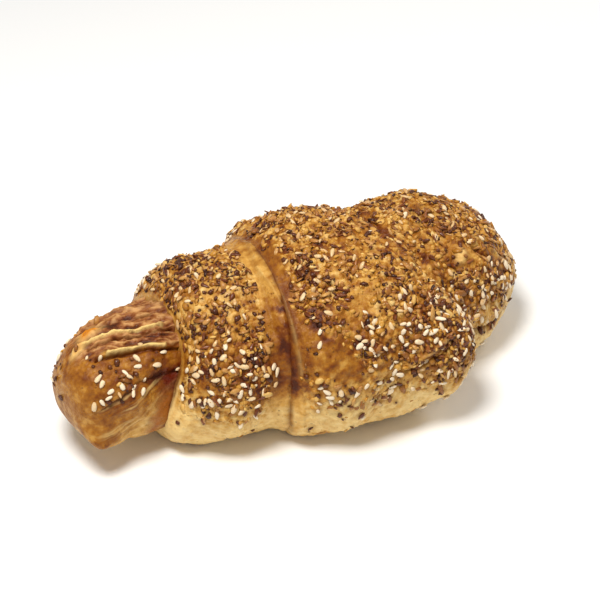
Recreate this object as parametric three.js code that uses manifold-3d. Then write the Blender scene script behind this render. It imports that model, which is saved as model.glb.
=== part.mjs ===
// A seeded cheese croissant, baked in one piece: five overlapping wraps of rolled dough with
// creases between them, torn layers and melted cheese on the tips, and seeds stuck to the crust.
// Lengths are millimetres and angles are degrees. The roll runs along X, its front faces -Y.
// A turn is an angle round the roll: 0 at the bottom, 90 at the front, 180 on top, 270 behind.
import * as THREE from 'three';
import { mergeVertices } from 'three/addons/utils/BufferGeometryUtils.js';
import Module from 'manifold-3d';

const wasm = await Module();
wasm.setup();

// Driving dimensions of the whole roll
const bendRadius = 291; // the roll curves gently, with its tips towards the back
const rollShift = { x: 2.9, y: -0.1 }; // puts the middle of the whole croissant over the origin
const lowSquareness = 0.74; // the lower half sags into a squarer section, 1 is an ellipse
const topSquareness = 1.0;
const leanStart = 0.4; // how soon an end's lean sets in, going out from the middle of its face

// Each wrap is a barrel. Pairs give the value at its left and at its right end. halfWidth and
// halfHeight are half its section, axisHeight is how high its axis lies, squareness says how flat
// its ends are. Each end leans out by tilt millimetres at the turn given in tiltTurn, and by bow
// at bowTurn and opposite it. aside moves it to the back, and past swingFrom it swings back by
// the angle swing. steps are its facets round and along, whose edges twist round it by twist from
// its middle to each end.
const wraps = {
  leftTip: {
    left: -87.2, right: -25, halfWidth: [18.4, 20.3], halfHeight: [17.6, 18.3], axisHeight: 24,
    squareness: [3.0, 3.0], tilt: [0, 0], tiltTurn: [0, 0], bow: [0, 0], bowTurn: [0, 0], aside: 4.4,
    swing: -8.5, swingFrom: -45, steps: [56, 18], twist: -58,
  },
  leftCoil: {
    left: -54.0, right: -1.2, halfWidth: [32.0, 32.1], halfHeight: [27.6, 27.3], axisHeight: 25.5,
    squareness: [4.0, 4.0], tilt: [7.8, -2.8], tiltTurn: [186, -30], bow: [1.2, 0], bowTurn: [121, 0],
    aside: 0, swing: 0, swingFrom: 0, steps: [40, 18], twist: 0,
  },
  middle: {
    left: -21.3, right: 36.6, halfWidth: [44.4, 38.2], halfHeight: [31.7, 27.6], axisHeight: 27.6,
    squareness: [3.5, 5.0], tilt: [-3.1, 15.9], tiltTurn: [18, 84], bow: [0, 3.8], bowTurn: [0, 88],
    aside: 0, swing: 0, swingFrom: 0, steps: [46, 18], twist: 0,
  },
  rightCoil: {
    left: -15, right: 72.4, halfWidth: [34.3, 32.4], halfHeight: [27.4, 24.4], axisHeight: 25.3,
    squareness: [3.0, 2.0], tilt: [0, -3.2], tiltTurn: [0, 232], bow: [0, 0], bowTurn: [0, 0],
    aside: 5.7, swing: 22.5, swingFrom: 20, steps: [40, 22], twist: -40,
  },
  rightTip: {
    left: 30, right: 75.0, halfWidth: [26.5, 24.0], halfHeight: [23.2, 22.6], axisHeight: 21.9,
    squareness: [3.0, 1.9], tilt: [0, -3.2], tiltTurn: [0, 225], bow: [0, 0], bowTurn: [0, 0],
    aside: -1.4, swing: 22.5, swingFrom: 20, steps: [36, 16], twist: -50,
  },
};

// Ridges (height above 0) and crevices (below 0) that run along the wraps. Each goes from one
// place to another, given as x along the roll and the turn round it, and dies out at its ends.
const creases = {
  leftTip: [
    { from: [-79, 194], to: [-50, 157], width: 1.5, height: 1.4 },
    { from: [-76, 180], to: [-44, 146], width: 1.4, height: -1.8 },
    { from: [-77, 168], to: [-48, 139], width: 1.5, height: 1.3 },
    { from: [-80, 166], to: [-46, 127], width: 1.5, height: -2.2 },
    { from: [-74, 210], to: [-46, 168], width: 1.4, height: -1.4 },
    { from: [-72, 222], to: [-46, 182], width: 1.6, height: 1.0 },
    { from: [-70, 236], to: [-46, 198], width: 1.6, height: -1.4 },
    { from: [-68, 254], to: [-46, 216], width: 1.8, height: 1.0 },
    { from: [-67, 120], to: [-44, 111], width: 2.0, height: -1.5 },
    { from: [-82, 102], to: [-67, 119], width: 1.8, height: -1.2 },
  ],
  leftCoil: [
    { from: [-14, 235], to: [-21, 130], width: 1.6, height: -0.8 },
  ],
  middle: [
    { from: [-14.5, 235], to: [-14.5, 60], width: 1.5, height: 0.8 },
    { from: [25, 97], to: [42, 110], width: 1.8, height: 1.3 },
    { from: [24, 91], to: [42, 103], width: 1.8, height: -1.2 },
    { from: [30, 225], to: [33, 160], width: 1.5, height: 0.9 },
  ],
  rightCoil: [],
  rightTip: [
    { from: [59, 168], to: [74, 122], width: 1.6, height: 1.2 },
    { from: [56, 160], to: [72, 112], width: 1.6, height: -1.6 },
    { from: [54, 86], to: [74, 66], width: 1.8, height: -2.2 },
    { from: [54, 97], to: [74, 79], width: 1.8, height: 1.2 },
  ],
};

// Broad places that stand out or lie low: a lump of cheese, a corner of dough, the layer under a flap
const swellings = {
  leftTip: [
    { at: [-87, 60], spread: [6.5, 15], height: 8.6 }, // the pointed lower corner
    { at: [-72.5, 200], spread: [2.6, 9], height: 1.4 }, // melted cheese
    { at: [-78.5, 192], spread: [2.2, 7], height: 1.0 },
    { at: [-76, 50], spread: [5, 22], height: 2.2 }, // the layer that comes out from under the coil
    { at: [-66, 45], spread: [5, 30], height: 1.8 },
    { at: [-54, 45], spread: [9, 30], height: 3.0 },
  ],
  leftCoil: [
    { at: [-51, 50], spread: [5, 30], height: -3.0 },
    { at: [-42, 48], spread: [9, 28], height: -0.8 },
    { at: [-42, 225], spread: [7, 25], height: 0.4 },
    { at: [-32, 225], spread: [9, 30], height: -1.3 },
    { at: [-7, 42], spread: [5, 25], height: 3.0 }, // fills the crease low at the front
    { at: [-10, 150], spread: [3.5, 95], height: -0.9 }, // the bare strip by the crease
  ],
  middle: [
    { at: [-16, 215], spread: [6, 30], height: -1.3 },
    { at: [-3, 228], spread: [13, 32], height: -1.6 },
    { at: [46, 100], spread: [8, 14], height: 0.6 }, // the full corner low at the front
    { at: [10, 52], spread: [22, 25], height: 1.4 },
    { at: [33, 52], spread: [10, 25], height: 1.0 },
    { at: [-18, 42], spread: [6, 25], height: 2.0 },
  ],
  rightCoil: [
    { at: [49, 100], spread: [7, 20], height: -1.2 },
  ],
  rightTip: [
    { at: [53.5, 149], spread: [2.4, 6], height: 1.8 }, // melted cheese
  ],
};

const closerTurn = 150;
const packing = 0.5; // 0 spreads the turns evenly, 1 packs them as close as they go

// The gentle unevenness of baked dough: waves along the roll and round it
const unevenness = { height: 0.7, wavesAlong: [0.31, 0.17], wavesRound: [5, 3] };

// Seeds fused to the crust: how many, and their length, width and thickness
const seedKinds = [
  { count: 52, size: [4.8, 2.5, 1.4], firstDraw: 11 }, // flax
  { count: 100, size: [3.4, 2.2, 1.3], firstDraw: 400 }, // sesame
];
// Where the dough was dipped in seeds, as slopes and turns on each wrap, with its share of them
const seededFields = [
  { on: 'leftTip', slopes: [42, 86], turns: [88, 128], share: 0.07 },
  { on: 'leftCoil', slopes: [34, 98], turns: [78, 284], share: 0.25 },
  { on: 'middle', slopes: [44, 150], turns: [84, 280], share: 0.4 },
  { on: 'rightCoil', slopes: [96, 158], turns: [86, 276], share: 0.21 },
  { on: 'rightTip', slopes: [112, 165], turns: [84, 270], share: 0.07 },
];
const seedRoom = 5.6; // the least distance between two seeds
const seedSink = 0.3; // how deep a seed is sunk, as a share of its thickness
const seedLowest = 12; // no seeds below this height
const seedLean = 16; // a seed leans to either side by up to half of this
const seedGrowth = [0.85, 1.15]; // the smallest and the largest seed, as a share of its size
const coveredDepth = 1.2; // a place that lies deeper than this under the crust is covered
const lookHeight = 25; // how far outside the crust the look down on it starts
const smallStep = 0.5; // the step in slope and turn that gives the crust's direction
const drawsPerSeed = 40; // how many places are tried for each seed before a field counts as full
const evenDraw = [0.7548776662466927, 0.5698402909980532]; // steps that fill a field evenly

const radians = THREE.MathUtils.degToRad;
const bell = (value) => Math.exp(-value * value);
const signedPower = (value, power) => Math.sign(value) * Math.abs(value) ** power;

// How far the crust stands out at x and turn on a wrap: creases, swellings and waves added up
function relief(name, x, turn) {
  const wrap = wraps[name];
  const radius = (wrap.halfWidth[0] + wrap.halfHeight[0]) / 2;
  let height = 0;
  for (const { from, to, width, height: peak } of creases[name]) {
    const along = (x - from[0]) * (to[0] - from[0]) + (turn - from[1]) * (to[1] - from[1]);
    const square = (to[0] - from[0]) ** 2 + (to[1] - from[1]) ** 2;
    const share = THREE.MathUtils.clamp(along / square, 0, 1);
    const offX = x - THREE.MathUtils.lerp(from[0], to[0], share);
    const offRound = radians(turn - THREE.MathUtils.lerp(from[1], to[1], share)) * radius;
    height += peak * bell(Math.hypot(offX, offRound) / width);
  }
  for (const { at, spread, height: peak } of swellings[name]) {
    height += peak * bell((x - at[0]) / spread[0]) * bell((turn - at[1]) / spread[1]);
  }
  const [firstAlong, secondAlong] = unevenness.wavesAlong;
  const [firstRound, secondRound] = unevenness.wavesRound;
  height += unevenness.height * Math.sin(firstAlong * x + 1) * Math.sin(radians(firstRound * turn) + 2);
  height += unevenness.height * Math.sin(secondAlong * x + 4) * Math.sin(radians(secondRound * turn));
  return height;
}

// A point of a wrap. slope runs from 0 at its left end to 180 at its right end. The outline along
// the roll is a superellipse, and so is the section, whose lower half is squarer.
function wrapPoint(name, slope, turn) {
  const wrap = wraps[name];
  const cosine = Math.cos(radians(slope));
  const sine = Math.sin(radians(slope));
  const power = wrap.squareness[cosine > 0 ? 0 : 1];
  const reach = (Math.abs(cosine) ** power + Math.abs(sine) ** power) ** (1 / power);
  const fill = sine / reach;
  const [left, right] = [wrap.left, wrap.right].map((end, side) => {
    const tilted = wrap.tilt[side] * Math.cos(radians(turn - wrap.tiltTurn[side]));
    const bowed = wrap.bow[side] * Math.cos(radians(2 * (turn - wrap.bowTurn[side])));
    return end + (tilted + bowed) * fill ** leanStart;
  });
  const x = (left + right) / 2 - ((right - left) / 2) * (cosine / reach);
  const share = THREE.MathUtils.clamp((x - wrap.left) / (wrap.right - wrap.left), 0, 1);
  const bump = relief(name, x, turn);
  const halfWidth = THREE.MathUtils.lerp(...wrap.halfWidth, share) + bump;
  const halfHeight = THREE.MathUtils.lerp(...wrap.halfHeight, share) + bump;
  const up = -Math.cos(radians(turn));
  const front = Math.sin(radians(turn));
  const squareness = up < 0 ? lowSquareness : topSquareness;
  const z = wrap.axisHeight + halfHeight * fill * signedPower(up, squareness);
  const beyond = wrap.swingFrom < 0 ? Math.max(wrap.swingFrom - x, 0) : Math.max(x - wrap.swingFrom, 0);
  const swung = Math.tan(radians(wrap.swing)) * beyond;
  const y = wrap.aside + swung - halfWidth * fill * signedPower(front, squareness);
  const around = x / bendRadius;
  return new THREE.Vector3(
    (bendRadius + y) * Math.sin(around) + rollShift.x,
    (bendRadius + y) * Math.cos(around) - bendRadius + rollShift.y,
    z,
  );
}

// Merges the corners that faces share, with only their places left
function joinedUp(geometry) {
  geometry.deleteAttribute('normal');
  geometry.deleteAttribute('uv');
  return mergeVertices(geometry, 1e-5);
}

// Turns a closed geometry into a solid that can be joined and cut
function toSolid(merged) {
  const mesh = new wasm.Mesh({
    numProp: 3,
    vertProperties: new Float32Array(merged.attributes.position.array),
    triVerts: new Uint32Array(merged.index.array),
  });
  return new wasm.Manifold(mesh);
}

// A wrap starts as a ball whose poles are its two ends. Its turns are packed closer round
// closerTurn, between the front and the top, where the creases are.
function wrapSolid(name) {
  const [round, long] = wraps[name].steps;
  const ball = new THREE.SphereGeometry(1, round, long);
  const merged = joinedUp(ball);
  const position = merged.attributes.position;
  const { twist } = wraps[name];
  for (let i = 0; i < position.count; i += 1) {
    const slope = THREE.MathUtils.radToDeg(Math.acos(THREE.MathUtils.clamp(position.getY(i), -1, 1)));
    const even = THREE.MathUtils.radToDeg(Math.atan2(position.getX(i), position.getZ(i)));
    const packed = even - THREE.MathUtils.radToDeg(packing) * Math.sin(radians(even - closerTurn));
    const turn = (packed + (twist * (slope - 90)) / 90 + 720) % 360;
    const point = wrapPoint(name, slope, turn);
    position.setXYZ(i, point.x, point.y, point.z);
  }
  return toSolid(merged);
}

// The dough: all wraps joined, and cut off flat where it sat on the baking sheet
function doughSolid() {
  let dough = wrapSolid('leftTip');
  for (const name of Object.keys(wraps).slice(1)) {
    dough = dough.add(wrapSolid(name));
  }
  const sheetSize = 400;
  const sheet = new THREE.BoxGeometry(sheetSize, sheetSize, sheetSize);
  sheet.translate(0, 0, -sheetSize / 2);
  return dough.subtract(toSolid(joinedUp(sheet)));
}

function toGeometry(solid) {
  const mesh = solid.getMesh();
  const geometry = new THREE.BufferGeometry();
  geometry.setAttribute('position', new THREE.BufferAttribute(mesh.vertProperties, 3));
  geometry.setIndex(new THREE.BufferAttribute(mesh.triVerts, 1));
  return geometry;
}

// Repeatable random numbers from 0 to 1
function randomSource(seed) {
  let state = seed;
  return () => {
    state = (state * 1664525 + 1013904223) % 4294967296;
    return state / 4294967296;
  };
}

// Looks straight down on the crust at a place on a wrap. Gives nothing where another wrap covers it.
function crustUnder(crust, name, slope, turn) {
  const point = wrapPoint(name, slope, turn);
  const onward = wrapPoint(name, slope + smallStep, turn).sub(point);
  const aroundward = wrapPoint(name, slope, turn + smallStep).sub(point);
  const outward = aroundward.cross(onward).normalize();
  if (outward.dot(point) < 0) {
    outward.negate();
  }
  const start = point.clone().addScaledVector(outward, lookHeight);
  const hit = new THREE.Raycaster(start, outward.clone().negate()).intersectObject(crust)[0];
  const covered = !hit || Math.abs(hit.distance - lookHeight) > coveredDepth;
  return covered ? null : { place: hit.point, outward };
}

// One seed: a small twenty-sided ball stretched to size, lying on the crust and sunk into it
function seedSolid(place, outward, size, spin, lean) {
  const seed = new THREE.IcosahedronGeometry(0.5, 0);
  seed.scale(...size);
  seed.rotateZ(spin);
  seed.rotateX(lean);
  const upright = new THREE.Quaternion().setFromUnitVectors(new THREE.Vector3(0, 0, 1), outward);
  seed.applyQuaternion(upright);
  const centre = place.clone().addScaledVector(outward, size[2] * (0.5 - seedSink));
  seed.translate(centre.x, centre.y, centre.z);
  return toSolid(joinedUp(seed));
}

// Joins the seeds to the dough, the largest kind first, each spread evenly over the seeded fields
function seededSolid(dough) {
  const crust = new THREE.Mesh(toGeometry(dough), new THREE.MeshBasicMaterial());
  const random = randomSource(5);
  const taken = [];
  let seeded = dough;
  for (const { count, size, firstDraw } of seedKinds) {
    for (const { on, slopes, turns, share } of seededFields) {
      let left = Math.round(count * share);
      for (let draw = firstDraw; left > 0 && draw < firstDraw + drawsPerSeed * count; draw += 1) {
        const slope = THREE.MathUtils.lerp(...slopes, (draw * evenDraw[0]) % 1);
        const turn = THREE.MathUtils.lerp(...turns, (draw * evenDraw[1]) % 1);
        const found = crustUnder(crust, on, slope, turn);
        if (!found || found.place.z < seedLowest) {
          continue;
        }
        if (taken.some((other) => other.distanceTo(found.place) < seedRoom)) {
          continue;
        }
        const grown = THREE.MathUtils.lerp(...seedGrowth, random());
        const spin = Math.PI * random();
        const lean = radians(seedLean) * (random() - 0.5);
        const grownSize = size.map((side) => side * grown);
        seeded = seeded.add(seedSolid(found.place, found.outward, grownSize, spin, lean));
        taken.push(found.place);
        left -= 1;
      }
    }
  }
  return seeded;
}

const croissant = new THREE.Mesh(
  toGeometry(seededSolid(doughSolid())),
  new THREE.MeshStandardMaterial({ color: 0xb07c42, roughness: 0.6, metalness: 0 }),
);
croissant.name = 'croissant';

const group = new THREE.Group();
group.add(croissant);
export default group;
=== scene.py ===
import math
from types import SimpleNamespace
import bpy
import numpy as np
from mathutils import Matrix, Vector


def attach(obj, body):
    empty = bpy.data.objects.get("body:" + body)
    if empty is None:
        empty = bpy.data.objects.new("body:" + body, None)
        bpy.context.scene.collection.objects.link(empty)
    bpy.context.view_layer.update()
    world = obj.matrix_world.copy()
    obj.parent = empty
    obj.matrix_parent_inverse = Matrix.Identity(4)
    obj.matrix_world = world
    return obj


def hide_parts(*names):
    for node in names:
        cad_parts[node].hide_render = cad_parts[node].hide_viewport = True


# A seeded cheese croissant. The roll runs along X, its front faces -Y and it lies on the floor at z = 0.
# Sizes are millimetres and angles are degrees. A turn is an angle round the roll: 0 at the bottom,
# 90 at the front, 180 on top and 270 behind. A slope runs along a wrap, from 0 at its left end to 180.
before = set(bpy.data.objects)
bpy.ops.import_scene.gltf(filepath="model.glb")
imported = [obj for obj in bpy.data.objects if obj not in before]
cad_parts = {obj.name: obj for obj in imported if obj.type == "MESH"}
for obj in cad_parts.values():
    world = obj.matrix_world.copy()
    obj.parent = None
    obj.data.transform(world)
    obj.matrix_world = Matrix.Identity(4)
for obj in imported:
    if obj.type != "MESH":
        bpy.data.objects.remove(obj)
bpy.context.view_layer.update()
mm = 0.001
body = "root"
node = "croissant"
print("frame loaded")


studio = {
    "aim": (-0.8, -6.0, 38.2), "distance": 650, "azimuth": -19.0, "elevation": 38.1,
    "lens": 120, "sensor": 36, "nearest": 0.01, "farthest": 50,
    "skyStrength": 0.34, "skyColour": (1.0, 0.965, 0.91),
    "overhead": {"place": (-170, -120, 640), "size": 230, "power": 4.2, "colour": (1.0, 0.965, 0.905)},
    "side": {"place": (480, 160, 420), "size": 200, "power": 0.9, "colour": (1.0, 0.965, 0.91)},
    "floorColour": (0.95, 0.97, 1.0), "floorSize": 6000, "floorRoughness": 0.9, "floorSpecular": 0.1,
}


def addObject(name, data, place=(0, 0, 0), aim=None):  # a camera or lamp is turned to look at its aim
    made = bpy.data.objects.new(name, data)
    made.location = place
    if aim:
        made.rotation_euler = (Vector(aim) - Vector(place)).to_track_quat("-Z", "Y").to_euler()
    bpy.context.scene.collection.objects.link(made)
    return made


def makeStudio():
    azimuth, elevation = math.radians(studio["azimuth"]), math.radians(studio["elevation"])
    level = math.cos(elevation)
    back = (math.sin(azimuth) * level, -math.cos(azimuth) * level, math.sin(elevation))
    aim = [a * mm for a in studio["aim"]]
    place = [a + b * studio["distance"] * mm for a, b in zip(aim, back)]
    data = bpy.data.cameras.new("camera")
    data.lens, data.sensor_width = studio["lens"], studio["sensor"]
    data.clip_start, data.clip_end = studio["nearest"], studio["farthest"]
    bpy.context.scene.camera = addObject("camera", data, place, aim)
    for name in ("overhead", "side"):
        lamp = studio[name]
        light = bpy.data.lights.new(name, "AREA")
        light.shape, light.size = "DISK", lamp["size"] * mm
        light.energy, light.color = lamp["power"], lamp["colour"]
        addObject(name, light, [v * mm for v in lamp["place"]], aim)
    world = bpy.data.worlds.new("studio")
    bpy.context.scene.world = world
    world.use_nodes = True
    setInputs(world.node_tree, world.node_tree.nodes["Background"], {
        "Color": (*studio["skyColour"], 1), "Strength": studio["skyStrength"],
    })
    view = bpy.context.scene.view_settings
    view.view_transform, view.look, view.exposure, view.gamma = "Standard", "None", 0, 1
    half = studio["floorSize"] / 2
    corners = [(-half, -half, 0), (half, -half, 0), (half, half, 0), (-half, half, 0)]
    floor = makeMesh("floor", corners, [np.array([[0, 1, 2, 3]])])
    floorPaint = bpy.data.materials.new("floorPaint")
    floorPaint.use_nodes = True
    setInputs(floorPaint.node_tree, floorPaint.node_tree.nodes["Principled BSDF"], {
        "Base Color": (*studio["floorColour"], 1), "Roughness": studio["floorRoughness"],
        "Specular IOR Level": studio["floorSpecular"],
    })
    floor.data.materials.append(floorPaint)
    print("studio made")


def makeMesh(name, points, faceGroups, **attributes):
    # points are millimetres, each face group is an array with one row of corner numbers for each face
    mesh = bpy.data.meshes.new(name)
    mesh.vertices.add(len(points))
    mesh.vertices.foreach_set("co", (np.asarray(points) * mm).astype(np.float32).ravel())
    corners = np.concatenate([group.ravel() for group in faceGroups]).astype(np.int32)
    sizes = np.concatenate([np.full(len(group), group.shape[1]) for group in faceGroups])
    mesh.loops.add(len(corners))
    mesh.loops.foreach_set("vertex_index", corners)
    mesh.polygons.add(len(sizes))
    mesh.polygons.foreach_set("loop_start", (np.cumsum(sizes) - sizes).astype(np.int32))
    mesh.polygons.foreach_set("use_smooth", np.full(len(sizes), True))
    mesh.update(calc_edges=True)
    for key, values in attributes.items():
        layer = mesh.attributes.new(key, "FLOAT", "POINT")
        layer.data.foreach_set("value", np.asarray(values, dtype=np.float32).ravel())
    return addObject(name, mesh)


def bell(value):
    return np.exp(-value * value)


def ease(low, high, value):  # 0 at low, 1 at high, with a soft start and end
    t = np.clip((value - low) / (high - low), 0, 1)
    return t * t * (3 - 2 * t)


def band(low, full, ebb, high, value):  # 0 up to low, 1 from full to ebb, 0 from high on
    return ease(low, full, value) * ease(high, ebb, value)


def cellRandom(cell, seed):
    # a number from 0 to 1 that is always the same for a cell; the factors are any large odd numbers
    mixed = cell[..., 0] * 73856093 ^ cell[..., 1] * 19349663 ^ cell[..., 2] * 83492791 ^ seed * 668265263
    mixed = (mixed ^ (mixed >> 13)) * 1274126177 & 0x7FFFFFFF
    return ((mixed ^ (mixed >> 16)) & 0xFFFF) / 0xFFFF


def latticeNoise(points, size, seed):
    # random values at the corners of cubes of the given size, blended softly between them, -1 to 1
    scaled = np.asarray(points) / size
    cell = np.floor(scaled).astype(np.int64)
    part = scaled - cell
    part = part * part * (3 - 2 * part)
    total = np.zeros(scaled.shape[:-1])
    for corner in range(8):
        step = np.array([corner & 1, corner >> 1 & 1, corner >> 2 & 1])
        weight = np.prod(np.where(step, part, 1 - part), axis=-1)
        total += weight * (2 * cellRandom(cell + step, seed) - 1)
    return total


grainReach = 0.62  # of a buried grain, as a share of its cube


def buriedGrains(points, size, seed):
    # one grain at a random place in each cube of the given size. Gives how high a point lies on the nearest,
    # which is 1 less the square of its distance over the grain's reach, and that grain's tone
    scaled = points / size
    cell = np.floor(scaled).astype(np.int64)
    nearest, tone = np.full(scaled.shape[:-1], 9.0), np.zeros(scaled.shape[:-1])
    for step in np.ndindex(3, 3, 3):
        at = cell + np.array(step) - 1
        spot = at + np.stack([cellRandom(at, seed + axis) for axis in range(3)], axis=-1)
        distance = np.linalg.norm(spot - scaled, axis=-1)
        tone = np.where(distance < nearest, cellRandom(at, seed + 3), tone)
        nearest = np.minimum(nearest, distance)
    return np.clip(1 - (nearest / grainReach) ** 2, 0, 1), 2 * tone - 1


def layeredNoise(points, size, seed, layers=3):  # each layer is half the size and half the strength
    return sum(latticeNoise(points, size / 2**k, seed + k) / 2**k for k in range(layers)) / 1.6


def patternNoise(x, turn, sizeX, sizeTurn, seed, layers=3):
    # noise laid on the crust: it may be stretched along the roll or round it
    laid = np.stack([x / sizeX, turn / sizeTurn, np.full(x.shape, 0.5)], axis=-1)
    return layeredNoise(laid, 1.0, seed, layers)


roll = {
    "bendRadius": 291, "shift": (2.9, -0.1), "lowSquareness": 0.74, "leanStart": 0.4,
    "waveHeight": 0.7, "wavesAlong": (0.31, 0.17), "wavesRound": (5, 3),
}
# what a wrap has unless it says otherwise
straight = {
    "tilt": (0, 0), "tiltTurn": (0, 0), "bow": (0, 0), "bowTurn": (0, 0),
    "aside": 0, "swing": 0, "swingFrom": 0, "folds": (),
}
# folds: x and turn where a ridge or crevice starts and ends, its width and height, and how cheesy it is
# swells: x and turn of a broad rise or dip, its spread in x and turn, and its height
leftTip = {
    **straight, "left": -87.2, "right": -25, "halfWidth": (18.4, 20.3), "halfHeight": (17.6, 18.3),
    "axisHeight": 24, "squareness": (3.0, 3.0), "aside": 4.4, "swing": -8.5, "swingFrom": -45,
    "slopeKnots": ((0, 0), (0.9, 122), (1, 180)),
    "folds": (
        (-80, 193, -52, 160, 0.7, 1.3, 1.8), (-76, 180, -44, 146, 0.8, -1.6, 0),
        (-72, 161, -54, 144, 0.75, 1.4, 1.8), (-76, 162, -46, 129, 1.0, -1.8, 0),
        (-74, 210, -46, 168, 0.8, -1.3, 0), (-72, 222, -46, 182, 0.8, 1.2, 0.1),
        (-70, 236, -46, 198, 0.8, -1.4, 0), (-68, 254, -46, 216, 1.2, 1.0, 0),
        (-67, 120, -44, 111, 1.6, -1.0, 0), (-82, 102, -67, 119, 0.9, -0.4, 0),
    ),
    "swells": (
        (-87, 60, 6.5, 15, 8.6), (-72.5, 200, 2.6, 9, 1.4), (-78.5, 192, 2.2, 7, 1.0),
        (-76, 50, 5, 22, 2.2), (-66, 45, 5, 30, 1.8), (-54, 45, 9, 30, 3.0),
    ),
}
leftCoil = {
    **straight, "left": -54, "right": -1.2, "halfWidth": (32.0, 32.1), "halfHeight": (27.6, 27.3),
    "axisHeight": 25.5, "squareness": (4.0, 4.0),
    "tilt": (7.8, -2.8), "tiltTurn": (186, -30), "bow": (1.2, 0), "bowTurn": (121, 0),
    "slopeKnots": ((0, 0), (0.06, 22), (0.94, 125), (1, 180)),
    "folds": ((-14, 235, -21, 130, 0.9, -0.5, 0), (-17.6, 176, -16.2, 146, 0.6, 0.8, 0.2)),
    "swells": (
        (-51, 50, 5, 30, -3.0), (-42, 48, 9, 28, -0.8), (-42, 225, 7, 25, 0.4),
        (-32, 225, 9, 30, -1.3), (-10, 150, 3.5, 95, -0.9), (-7, 42, 5, 25, 3.0),
    ),
}
middle = {
    **straight, "left": -21.3, "right": 36.6, "halfWidth": (44.4, 38.2), "halfHeight": (31.7, 27.6),
    "axisHeight": 27.6, "squareness": (3.5, 5.0),
    "tilt": (-3.1, 15.9), "tiltTurn": (18, 84), "bow": (0, 3.8), "bowTurn": (0, 88),
    "slopeKnots": ((0, 0), (0.05, 25), (0.95, 155), (1, 180)),
    "folds": (
        (-14.5, 235, -15.2, 60, 0.65, 0.8, 0.2), (25, 97, 42, 110, 1.0, 1.2, 0.4),
        (24, 91, 42, 103, 1.0, -1.2, 0), (30, 225, 33, 160, 1.3, 0.9, 0),
    ),
    "swells": (
        (-16, 215, 6, 30, -1.3), (-3, 228, 13, 32, -1.6), (46, 100, 8, 14, 0.6),
        (10, 52, 22, 25, 1.4), (33, 52, 10, 25, 1.0), (-18, 42, 6, 25, 2.0),
    ),
}
rightCoil = {
    **straight, "left": -15, "right": 72.4, "halfWidth": (34.3, 32.4), "halfHeight": (27.4, 24.4),
    "axisHeight": 25.3, "squareness": (3.0, 2.0), "tilt": (0, -3.2), "tiltTurn": (0, 232),
    "aside": 5.7, "swing": 22.5, "swingFrom": 20, "slopeKnots": ((0, 0), (0.1, 82), (1, 180)),
    "swells": ((49, 100, 7, 20, -1.2),),
}
rightTip = {
    **straight, "left": 30, "right": 75.0, "halfWidth": (26.5, 24.0), "halfHeight": (23.2, 22.6),
    "axisHeight": 21.9, "squareness": (3.0, 1.9), "tilt": (0, -3.2), "tiltTurn": (0, 225),
    "aside": -1.4, "swing": 22.5, "swingFrom": 20, "slopeKnots": ((0, 0), (0.1, 80), (1, 180)),
    "folds": (
        (59, 168, 74, 122, 0.9, 1.3, 0.8), (56, 160, 72, 112, 0.9, -1.7, 0),
        (54, 86, 74, 66, 1.3, -2.6, 0), (54, 97, 74, 79, 1.4, 1.4, 0.2),
    ),
    "swells": ((53.5, 149, 2.2, 5.5, 1.8),),
}
wraps = {
    "leftTip": leftTip, "leftCoil": leftCoil, "middle": middle, "rightCoil": rightCoil, "rightTip": rightTip,
}
blendsWith = {"rightCoil": "rightTip", "rightTip": "rightCoil"}  # no crease shows between these two
deepCrease = {"leftCoil": "middle", "middle": "leftCoil"}  # partly filled
# lift raises each wrap's base a little over the one before, so that no two lie in one plane
gridSteps = {"along": 200, "round": 480, "turnKnots": ((0, 50), (0.82, 310), (1, 410)), "lift": 0.03}


def wrapReach(wrap, slope, turn):
    # the outline along the roll is a superellipse: x and the share of the full section at a slope
    c, s = np.cos(slope), np.sin(slope)
    power = np.where(c > 0, *wrap["squareness"])
    reach = (np.abs(c) ** power + np.abs(s) ** power) ** (1 / power)
    fill = np.clip(s, 0, 1) / reach
    left, right = wrapEnds(wrap, turn, fill)
    return (left + right) / 2 - (right - left) / 2 * c / reach, fill


def wrapEnds(wrap, turn, fill):  # each end leans once round the roll by tilt, and twice by bow
    ends = []
    for side, end in enumerate((wrap["left"], wrap["right"])):
        tilted = wrap["tilt"][side] * np.cos(turn - math.radians(wrap["tiltTurn"][side]))
        bowed = wrap["bow"][side] * np.cos(2 * (turn - math.radians(wrap["bowTurn"][side])))
        ends.append(end + (tilted + bowed) * fill ** roll["leanStart"])
    return ends


def halfSection(wrap, x):
    share = np.clip((x - wrap["left"]) / (wrap["right"] - wrap["left"]), 0, 1)
    return [a + (b - a) * share for a, b in (wrap["halfWidth"], wrap["halfHeight"])]


def swingBack(wrap, x):  # past swingFrom the roll leans away by the tangent of swing
    sign = -1 if wrap["swingFrom"] < 0 else 1
    return math.tan(math.radians(wrap["swing"])) * np.maximum(sign * (x - wrap["swingFrom"]), 0)


def wrapPlace(wrap, x, fill, turn, bump):
    # the section is an ellipse, squarer in its lower half, and the whole roll lies on a wide circle
    width, height = halfSection(wrap, x)
    up, front = -np.cos(turn), np.sin(turn)
    power = np.where(up < 0, roll["lowSquareness"], 1.0)
    z = wrap["axisHeight"] + (height + bump) * fill * np.sign(up) * np.abs(up) ** power
    y = wrap["aside"] + swingBack(wrap, x) - (width + bump) * fill * np.sign(front) * np.abs(front) ** power
    radius = roll["bendRadius"]
    around = x / radius
    return np.stack([
        (radius + y) * np.sin(around) + roll["shift"][0],
        (radius + y) * np.cos(around) - radius + roll["shift"][1],
        z,
    ], axis=-1)


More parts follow.
